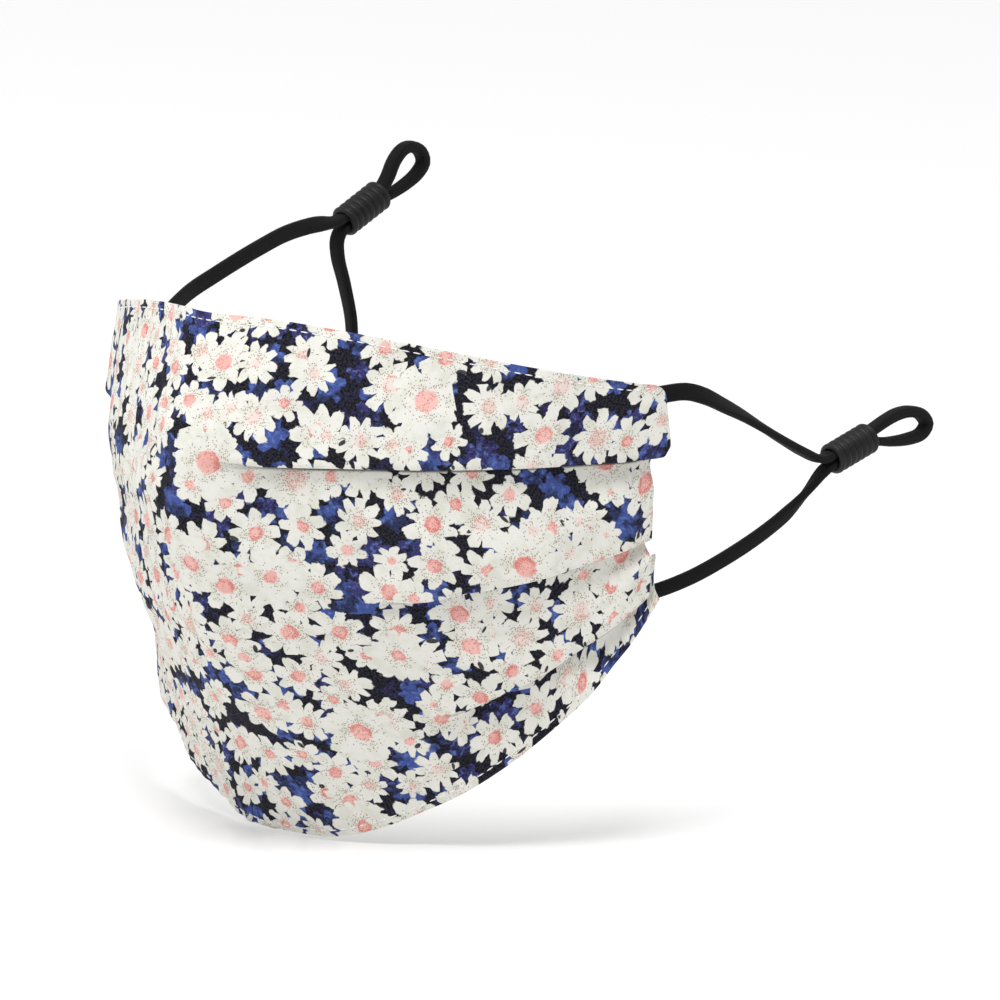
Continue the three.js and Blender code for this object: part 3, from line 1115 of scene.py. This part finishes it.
    def shape(self) -> None:
        """Works out the middle of the cloth, its outward normals and its flat places."""
        across = self.places_across()
        _, lengths = self.form.sections(across)
        stops = self.form.stops(lengths)
        paths = np.stack([self.path(place, row) for place, row in zip(across, stops)], axis=1)
        down, off, heading = (paths[..., index] for index in range(3))
        whole = lengths[:, -1]
        share = np.clip(down / whole, 0, 1)
        base = self.form.surface(across, share)
        ahead = self.form.surface(across, np.clip(share + 0.004, 0, 1))
        behind = self.form.surface(across, np.clip(share - 0.004, 0, 1))
        turn = np.where(across > 0, -1.0, 1.0)
        beside = self.form.surface(across + turn * 2e-3, share)
        downward = unit(ahead - behind)
        sideways = unit((beside - base) * turn[None, :, None])
        outward = unit(np.cross(downward, sideways))
        relief = self.crease_heights(across, down, stops)
        middle = base + outward * (off + relief)[..., None]
        reach = self.side_reach(across, np.arange(len(middle)), down)
        middle = middle + sideways * (reach * np.sign(across))[..., None]
        middle[..., 1] += EARS_PLANE
        normal = (outward * np.cos(heading)[..., None] + downward * np.sin(heading)[..., None])
        flat_down = distances(middle.transpose(1, 0, 2)).T
        flat_across = distances(middle)
        flat_across -= flat_across[:, [len(across) // 2]]
        self.middle, self.normal = middle, unit(normal)
        self.uv = np.stack([flat_across, -flat_down], axis=2)
        self.folds = self.lip_shadow_places(across, down, stops)

    def lip_shadow_places(self, across: np.ndarray, down: np.ndarray, stops: np.ndarray) -> np.ndarray:
        """Gives the places of the painted shadow that darkens the cloth under each lip.

        They are how far each point is below the lip that hides it, and how far that one is folded.

        Args:
            across: The columns' places.
            down: How far down, by row and column.
            stops: How far down the lines are, by column.

        Returns:
            The distance, in metres, and the share of a full turn, by row and column.
        """
        places = np.stack([np.full(down.shape, self.clear), np.zeros(down.shape)], axis=2)
        period = self.band_steps + 2 * self.fold_steps + self.return_steps
        for order, pleat in enumerate(self.pleats):
            later = np.where(across < 0, pleat.later, 0.0)
            # The painted shadow is as strong as the pleat is folded, and fades out before the side
            # edge.
            folded = smooth_step(np.abs(across), pleat.opens + later, pleat.closed + later)
            folded *= 1 - smooth_step(np.abs(across), *self.unshaded)
            first = order * period + self.band_steps + self.fold_steps // 2 + 1
            last = (order + 1) * period + self.band_steps
            below = np.maximum(down[first:last] - stops[:, pleat.lip], 0)
            places[first:last, :, 0] = below
            places[first:last, :, 1] = folded
        return places

    def side_reach(self, across: np.ndarray, rows: np.ndarray, down: np.ndarray) -> np.ndarray:
        """Gives how far the longer bands reach past the middle ones at the side.

        Args:
            across: The columns' places.
            rows: The rows' numbers.
            down: How far down, by row and column.

        Returns:
            The reach by row and column, in metres.
        """
        upper_rows = self.band_steps + self.fold_steps // 2
        lower_rows = len(rows) - self.band_steps
        reached = smooth_step(np.abs(across), self.reach_from, 1)
        long = ((rows <= upper_rows) | (rows >= lower_rows)).astype(float)
        reached *= np.where(across > 0, 1.0, self.right_reach)
        rounded = np.clip(1 - down / self.corner, 0, 1)
        cut = self.corner * (1 - np.sqrt(1 - rounded ** 2))
        above = (rows <= upper_rows)[:, None] * np.maximum(down[upper_rows] - down, 0)
        slanted = self.slant * np.clip(self.chamfer - above, 0, None)
        cut += slanted * (rows <= upper_rows)[:, None]
        return long[:, None] * (self.end_reach - cut) * reached[None, :]

    def build(self, finishes: list[bpy.types.Material]) -> bpy.types.Object:
        """Builds the panel.

        Args:
            finishes: The printed outside and the plain inside.

        Returns:
            The panel.
        """
        self.shape()
        piece = woven_grid("mask_panel_cloth", self.middle[::-1], self.uv[::-1], False)
        # A second UV map, folds, carries the places of the painted shadow under the lips.
        layer = piece.data.uv_layers.new(name="folds")
        flat = self.folds[::-1].reshape(-1, 2)
        for loop in piece.data.loops:
            layer.data[loop.index].uv = flat[loop.vertex_index]
        for finish in finishes:
            piece.data.materials.append(finish)
        wall = piece.modifiers.new("cloth wall", "SOLIDIFY")
        wall.thickness = self.thickness
        wall.offset = 0.0
        wall.use_even_offset = False
        wall.material_offset = 1
        wall.material_offset_rim = 0
        soft = piece.modifiers.new("soft edges", "BEVEL")
        soft.width = self.edge
        soft.segments = 2
        soft.limit_method = "ANGLE"
        soft.angle_limit = math.radians(60)
        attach(piece, BODY)
        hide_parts("mask_panel")
        return piece


# ---- Stitches ---------------------------------------------------------------------------------


@dataclass
class StitchRow:
    """A row of machine stitches along an edge of the panel.

    inset: how far the row lies from the edge on the flat cloth. proud: the share of the
    thread's thickness by which its middle stands off the cloth.
    """

    inset: float = 1.8 * MM
    length: float = 2.1 * MM
    gap: float = 0.5 * MM
    thread: float = 0.34 * MM
    proud: float = 0.12

    def along(self, line: np.ndarray, outward: np.ndarray, bm: bmesh.types.BMesh) -> int:
        """Lays stitches along a line on the cloth.

        Args:
            line: Points on the cloth's outer face.
            outward: The cloth's outward normals there.
            bm: The mesh that takes the stitches.

        Returns:
            The number of stitches.
        """
        passed = distances(line)
        pitch = self.length + self.gap
        count = int(passed[-1] // pitch)
        for number in range(count):
            ends = [number * pitch + self.gap / 2, number * pitch + self.gap / 2 + self.length]
            places = [Vector([np.interp(at, passed, line[:, axis]) for axis in range(3)])
                      for at in ends]
            up = Vector([np.interp(sum(ends) / 2, passed, outward[:, axis])
                         for axis in range(3)]).normalized()
            self.stitch(places[0], places[1], up, bm)
        return count

    def stitch(self, start: Vector, end: Vector, up: Vector, bm: bmesh.types.BMesh) -> None:
        """Adds one stitch: a plump seed of thread whose ends dip into the cloth.

        Args:
            start: Where the thread comes up.
            end: Where it goes down.
            up: Away from the cloth.
            bm: The mesh that takes the stitch.
        """
        way = (end - start).normalized()
        side = up.cross(way).normalized()
        up = way.cross(side)
        middle = (start + end) / 2 + up * (self.thread * self.proud)
        place = Matrix.Translation(middle) @ Matrix((way, side, up)).transposed().to_4x4()
        size = Matrix.Diagonal((self.length / 2, self.thread / 2, self.thread / 2, 1))
        bmesh.ops.create_icosphere(bm, subdivisions=1, radius=1.0, matrix=place @ size)


@dataclass
class Stitching:
    """The rows of stitches that hold the panel's hems."""

    panel: MaskPanel
    row: StitchRow = field(default_factory=StitchRow)

    def face(self, rows: np.ndarray, columns: np.ndarray) -> tuple[np.ndarray, np.ndarray]:
        """Reads the cloth's outer face between its points.

        Args:
            rows: Places down the grid, which may lie between rows.
            columns: Places across the grid, which may lie between columns.

        Returns:
            The points and the outward normals.
        """
        low_row = np.clip(np.floor(rows).astype(int), 0, self.panel.middle.shape[0] - 2)
        low_column = np.clip(np.floor(columns).astype(int), 0, self.panel.middle.shape[1] - 2)
        more_row, more_column = (rows - low_row)[:, None], (columns - low_column)[:, None]

        def read(grid: np.ndarray) -> np.ndarray:
            """Blends the four nearest points of a grid.

            Args:
                grid: Values by row and column.

            Returns:
                The blended values.
            """
            upper = (grid[low_row, low_column] * (1 - more_column)
                     + grid[low_row, low_column + 1] * more_column)
            lower = (grid[low_row + 1, low_column] * (1 - more_column)
                     + grid[low_row + 1, low_column + 1] * more_column)
            return upper * (1 - more_row) + lower * more_row

        normal = unit(read(self.panel.normal))
        return read(self.panel.middle) + normal * self.panel.thickness / 2, normal

    def build(self, finish: bpy.types.Material) -> bpy.types.Object:
        """Builds all the rows as one piece.

        Args:
            finish: The thread.

        Returns:
            The stitches.
        """
        bm = bmesh.new()
        flat_down = -self.panel.uv[..., 1]
        columns = np.arange(self.panel.columns, dtype=float)[3:-3]
        top, bottom = [], []
        for column in columns.astype(int):
            downs = flat_down[:, column]
            numbers = np.arange(len(downs), dtype=float)
            top.append(np.interp(self.row.inset, downs, numbers))
            bottom.append(np.interp(downs[-1] - self.row.inset, downs, numbers))
        laid = 0
        for rows in (np.array(top), np.array(bottom)):
            laid += self.row.along(*self.face(rows, columns), bm)
        LOG.info("stitches: %d", laid)
        piece = link_mesh("hem_stitches", bm)
        shade_smooth(piece)
        piece.data.materials.append(finish)
        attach(piece, BODY)
        return piece


# ---- Ear loops and adjusters ------------------------------------------------------------------


@dataclass
class EarLoop:
    """A flat elastic, from the top of a side edge through the adjuster, round and back.

    route: how far out, how far behind the ears' plane and how high, in millimetres.
    twist: at shares of the length, how far its width has turned from upright, in degrees.
    plump: at shares of the length, its width and thickness in millimetres.
    roundness: the power that makes the elastic's section a rounded oblong.
    """

    name: str
    node: str
    route: tuple[tuple[float, float, float], ...]
    twist: tuple[tuple[float, float], ...]
    plump: tuple[tuple[float, float, float], ...]
    width: float = 3.8 * MM
    knot_steps: int = 16
    rings: int = 240
    corners: int = 20
    roundness: float = 0.62

    def centre_line(self) -> np.ndarray:
        """Gives the smooth line through the route, evenly spaced."""
        knots = np.array(self.route) * MM + np.array([0, EARS_PLANE, 0])
        return even_points(curve_through(list(knots), self.knot_steps), self.rings)

    def build(self, finish: bpy.types.Material, adjuster: bpy.types.Object
              ) -> bpy.types.Object:
        """Builds the elastic.

        Args:
            finish: The knitted elastic.
            adjuster: The adjuster that it is drawn through; not used.

        Returns:
            The elastic.
        """
        line = self.centre_line()
        length = float(distances(line)[-1])
        share = np.linspace(0, 1, self.rings)
        ways = unit(np.gradient(line, axis=0))
        side = unit(np.array([1.0, 0.0, 0.0]) - ways[:, :1] * ways)
        upright = np.cross(ways, side)
        turns = np.radians(np.interp(share, *np.array(self.twist).T))[:, None]
        broad = upright * np.cos(turns) + side * np.sin(turns)
        flat = np.cross(ways, broad)
        plump = np.array(self.plump)
        wide = np.interp(share, plump[:, 0], plump[:, 1])[:, None, None] * MM / 2
        thick = np.interp(share, plump[:, 0], plump[:, 2])[:, None, None] * MM / 2
        angle = np.linspace(0, 2 * np.pi, self.corners + 1)
        cosine, sine = np.cos(angle), np.sin(angle)
        round_wide = np.sign(cosine) * np.abs(cosine) ** self.roundness
        round_thick = np.sign(sine) * np.abs(sine) ** self.roundness
        rings = (line[:, None, :] + broad[:, None, :] * wide * round_wide[None, :, None]
                 + flat[:, None, :] * thick * round_thick[None, :, None])
        around = distances(rings[0])
        uv = np.stack(np.broadcast_arrays(around[None, :], (share * length)[:, None]), axis=2)
        piece = woven_grid(self.name, rings, uv, True)
        piece.data.materials.append(finish)
        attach(piece, BODY)
        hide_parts(self.node)
        LOG.info("%s: %.3f m of elastic", self.name, length)
        return piece


@dataclass
class Adjuster:
    """A ribbed barrel of moulded rubber, which grips the two strands in it."""

    name: str
    node: str
    place: tuple[float, float, float]
    tilt: float
    length: float = 14 * MM
    bore: float = 2.62 * MM
    groove: float = 2.8 * MM
    rib: float = 3.7 * MM
    ribs: int = 7
    sides: int = 40

    def build(self, finish: bpy.types.Material) -> bpy.types.Object:
        """Builds the barrel by turning its profile about its axis.

        Args:
            finish: The rubber.

        Returns:
            The barrel.
        """
        pitch = self.length / self.ribs
        outline = [(self.bore, -self.length / 2)]
        for rib in range(self.ribs):
            start = -self.length / 2 + rib * pitch
            for share in (0.06, 0.14, 0.26, 0.42, 0.58, 0.74, 0.86, 0.94):
                swell = math.sin(math.pi * share)
                radius = self.groove + (self.rib - self.groove) * swell
                outline.append((radius, start + share * pitch))
        outline.append((self.bore, self.length / 2))
        bm = bmesh.new()
        verts = [bm.verts.new((radius, along, 0)) for radius, along in outline]
        edges = [bm.edges.new(pair) for pair in zip(verts, verts[1:] + verts[:1])]
        bmesh.ops.spin(bm, geom=[*verts, *edges], cent=(0, 0, 0), axis=(0, 1, 0),
                       dvec=(0, 0, 0), angle=2 * math.pi, steps=self.sides, use_merge=True)
        bmesh.ops.remove_doubles(bm, verts=bm.verts, dist=1e-6)
        bmesh.ops.recalc_face_normals(bm, faces=bm.faces)
        out, behind, high = self.place
        centre = Vector((out, behind, high)) * MM + Vector((0, EARS_PLANE, 0))
        place = Matrix.Translation(centre) @ Matrix.Rotation(math.radians(self.tilt), 4, "X")
        bmesh.ops.transform(bm, matrix=place, verts=bm.verts)
        piece = link_mesh(self.name, bm)
        shade_smooth(piece)
        piece.data.materials.append(finish)
        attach(piece, BODY)
        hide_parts(self.node)
        return piece


LEFT_LOOP = EarLoop(
    "ear_loop_left_elastic", "ear_loop_left",
    (
        (68.6, -8, -21.3), (70.8, -1, -21.2), (72.1, 4, -21.0), (73.8, 11, -21.1),
        (74.7, 16.7, -22.9), (75, 22.7, -25.8), (75, 29.8, -29.3), (75, 36.8, -33.2),
        (75, 44.3, -37.4), (75, 51.3, -41.1), (75, 56.4, -43.4), (75, 59.4, -43.8),
        (75, 61.2, -43.3), (75, 67.8, -41.8), (75, 74.5, -40.2), (75, 81, -38.3),
        (75, 85.2, -37.5), (75, 89.4, -37.6), (75, 93.4, -38.9), (75, 95.4, -41.4),
        (75, 93.6, -43.3), (75, 89.2, -43.9), (75, 82, -43.5), (75, 75, -42.5),
        (75, 68.3, -44.1), (75, 61.5, -45.6), (75, 59.8, -46.1), (75, 57.2, -47.5),
        (75, 53.3, -50.2), (75, 46.4, -54.1), (75, 36.8, -57.8), (74.4, 25, -61.5),
        (72.6, 15, -64.6), (69.9, 7, -66.7), (67, 0, -67.8), (64.6, -6, -68.2),
    ),
    ((0, 0), (0.08, 0), (0.22, 70), (0.29, 90), (0.68, 90), (0.75, 12), (0.82, 0), (1, 0)),
    ((0, 4.2, 1.8), (0.26, 3.8, 2.0), (0.40, 3.8, 2.0), (0.45, 3.4, 2.7), (0.54, 3.4, 2.7),
     (0.58, 3.8, 2.0), (0.70, 3.6, 2.0), (1, 3.4, 1.8)),
)

RIGHT_LOOP = EarLoop(
    "ear_loop_right_elastic", "ear_loop_right",
    (
        (-68.6, -8, -21.4), (-70.6, -2.5, -20.9), (-71.9, 1.5, -19.9), (-73.3, 6.5, -18.5),
        (-74.6, 13, -16.8), (-75, 21, -14.8), (-75, 30, -12.4), (-75, 38, -10.5),
        (-75, 46, -8.9), (-75, 54, -8.3), (-75, 60, -8.4), (-75, 64, -8.6), (-75, 67, -8.0),
        (-75, 73.1, -5.9), (-75, 77, -4.5), (-75, 80.5, -3.2), (-75, 82.7, -1),
        (-75, 85, 2.4), (-75, 88, 4.6), (-75, 91.2, 4.9), (-75, 94.4, 3.2),
        (-75, 95.4, 0.6), (-75, 93.2, -1.7), (-75, 88.4, -3.8), (-75, 84, -5),
        (-75, 80.2, -5.8), (-75, 74, -8.1), (-75, 69.8, -9.6), (-75, 66.3, -10.9),
        (-75, 64.8, -13), (-75, 65, -17), (-75, 67.4, -24), (-75, 69.9, -34),
        (-75, 69, -44), (-75, 62.5, -52), (-75, 52, -57), (-75, 38, -60.2),
        (-74.4, 25, -63), (-72.6, 15, -65.2), (-69.9, 7, -66.8), (-67, 0, -67.8),
        (-64.6, -6, -68.2),
    ),
    ((0, 0), (0.24, 0), (0.29, 90), (0.55, 90), (0.70, 60), (0.82, 0), (1, 0)),
    ((0, 3.9, 1.8), (0.26, 3.8, 2.0), (0.36, 3.8, 2.0), (0.40, 3.4, 2.7), (0.43, 3.4, 2.7),
     (0.47, 3.8, 2.0), (0.70, 3.8, 2.0), (1, 3.9, 1.8)),
)


# ---- Studio -----------------------------------------------------------------------------------


@dataclass(frozen=True)
class Lamp:
    """A soft square lamp: where it stands, its power in watts and its side in metres."""

    name: str
    place: tuple[float, float, float]
    power: float
    side: float


@dataclass
class Studio:
    """A plain pale floor, soft light and the camera.

    side_shift and rise: how far right of and above the ears' plane the camera looks.
    """

    azimuth: float = 40.0
    elevation: float = 11.5
    distance: float = 9.5
    field_width: float = 0.2273
    side_shift: float = 0.0216
    rise: float = -0.0530
    lens_width: float = 36.0
    far: float = 50.0
    floor_gap: float = 0.0006
    floor_side: float = 15.0
    aim: tuple[float, float, float] = (0, 0.05, -0.06)
    surroundings: float = 0.66
    lamps: tuple[Lamp, ...] = (
        Lamp("key_lamp", (0.4, -0.9, 2.3), 50, 1.2),
        Lamp("side_lamp", (-1.7, -0.9, 0.9), 9, 1.6),
    )

    def camera(self) -> None:
        """Sets the camera at the height and side that show the mask's left half."""
        turn, up = math.radians(self.azimuth), math.radians(self.elevation)
        right = Vector((math.cos(turn), math.sin(turn), 0))
        back = Vector((math.sin(turn) * math.cos(up), -math.cos(turn) * math.cos(up),
                       math.sin(up)))
        top = back.cross(right)
        target = (Vector((0, EARS_PLANE, 0)) + right * self.side_shift + top * self.rise)
        data = bpy.data.cameras.new("camera")
        data.sensor_width = self.lens_width
        data.lens = self.lens_width * self.distance / self.field_width
        data.clip_end = self.far
        seen = bpy.data.objects.new("camera", data)
        seen.location = target + back * self.distance
        seen.rotation_mode = "QUATERNION"
        seen.rotation_quaternion = Matrix((right, top, back)).transposed().to_quaternion()
        bpy.context.scene.collection.objects.link(seen)
        bpy.context.scene.camera = seen

    def light(self, lamp: Lamp) -> None:
        """Adds one soft lamp that faces the mask.

        Args:
            lamp: The lamp.
        """
        data = bpy.data.lights.new(lamp.name, "AREA")
        data.energy, data.size = lamp.power, lamp.side
        hung = bpy.data.objects.new(lamp.name, data)
        hung.location = lamp.place
        hung.rotation_mode = "QUATERNION"
        way = Vector(self.aim) - Vector(lamp.place)
        hung.rotation_quaternion = way.to_track_quat("-Z", "Y")
        bpy.context.scene.collection.objects.link(hung)

    def floor(self, level: float) -> None:
        """Lays the floor.

        Args:
            level: The height of the object's lowest point.
        """
        bm = bmesh.new()
        bmesh.ops.create_grid(bm, x_segments=1, y_segments=1, size=self.floor_side)
        down = Matrix.Translation((0, 0, level - self.floor_gap))
        bmesh.ops.transform(bm, matrix=down, verts=bm.verts)
        ground = link_mesh("floor", bm)
        sh = Shader("pale_floor")
        ground.data.materials.append(sh.finish({"Base Color": linear(250, 250, 250),
                                                "Roughness": 0.35,
                                                "Specular IOR Level": 0.35}))
        ground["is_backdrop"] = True

    def build(self, level: float) -> None:
        """Builds the floor, the lamps and the white surroundings.

        Args:
            level: The height of the object's lowest point.
        """
        self.floor(level)
        for lamp in self.lamps:
            self.light(lamp)
        world = bpy.data.worlds.new("surroundings")
        world.use_nodes = True
        background = world.node_tree.nodes["Background"]
        background.inputs["Color"].default_value = (1, 1, 1, 1)
        background.inputs["Strength"].default_value = self.surroundings
        bpy.context.scene.world = world
        bpy.context.scene.view_settings.view_transform = "Standard"


def main() -> None:
    """Builds the mask piece by piece."""
    logging.basicConfig(level=logging.INFO, format="%(name)s: %(message)s")
    frame_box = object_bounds()
    studio = Studio()
    studio.camera()

    rubber = MouldedRubber().material()
    elastic = KnittedElastic().material()
    barrels = (
        Adjuster("adjuster_left_barrel", "adjuster_left", (75, 68, -42.95), 13.1),
        Adjuster("adjuster_right_barrel", "adjuster_right", (-75, 73.5, -7), 20.1),
    )
    for loop, barrel in zip((LEFT_LOOP, RIGHT_LOOP), barrels):
        adjuster = barrel.build(rubber)
        loop.build(elastic, adjuster)
        LOG.info("%s and %s are made", loop.name, adjuster.name)

    panel = MaskPanel()
    cloth = panel.build([DaisyPrint().material(), PlainCotton().material()])
    LOG.info("%s: %d faces before its wall", cloth.name, len(cloth.data.polygons))
    stitches = Stitching(panel).build(SewingThread().material())

    studio.build(frame_box[0].z)


if __name__ == "__main__":
    main()
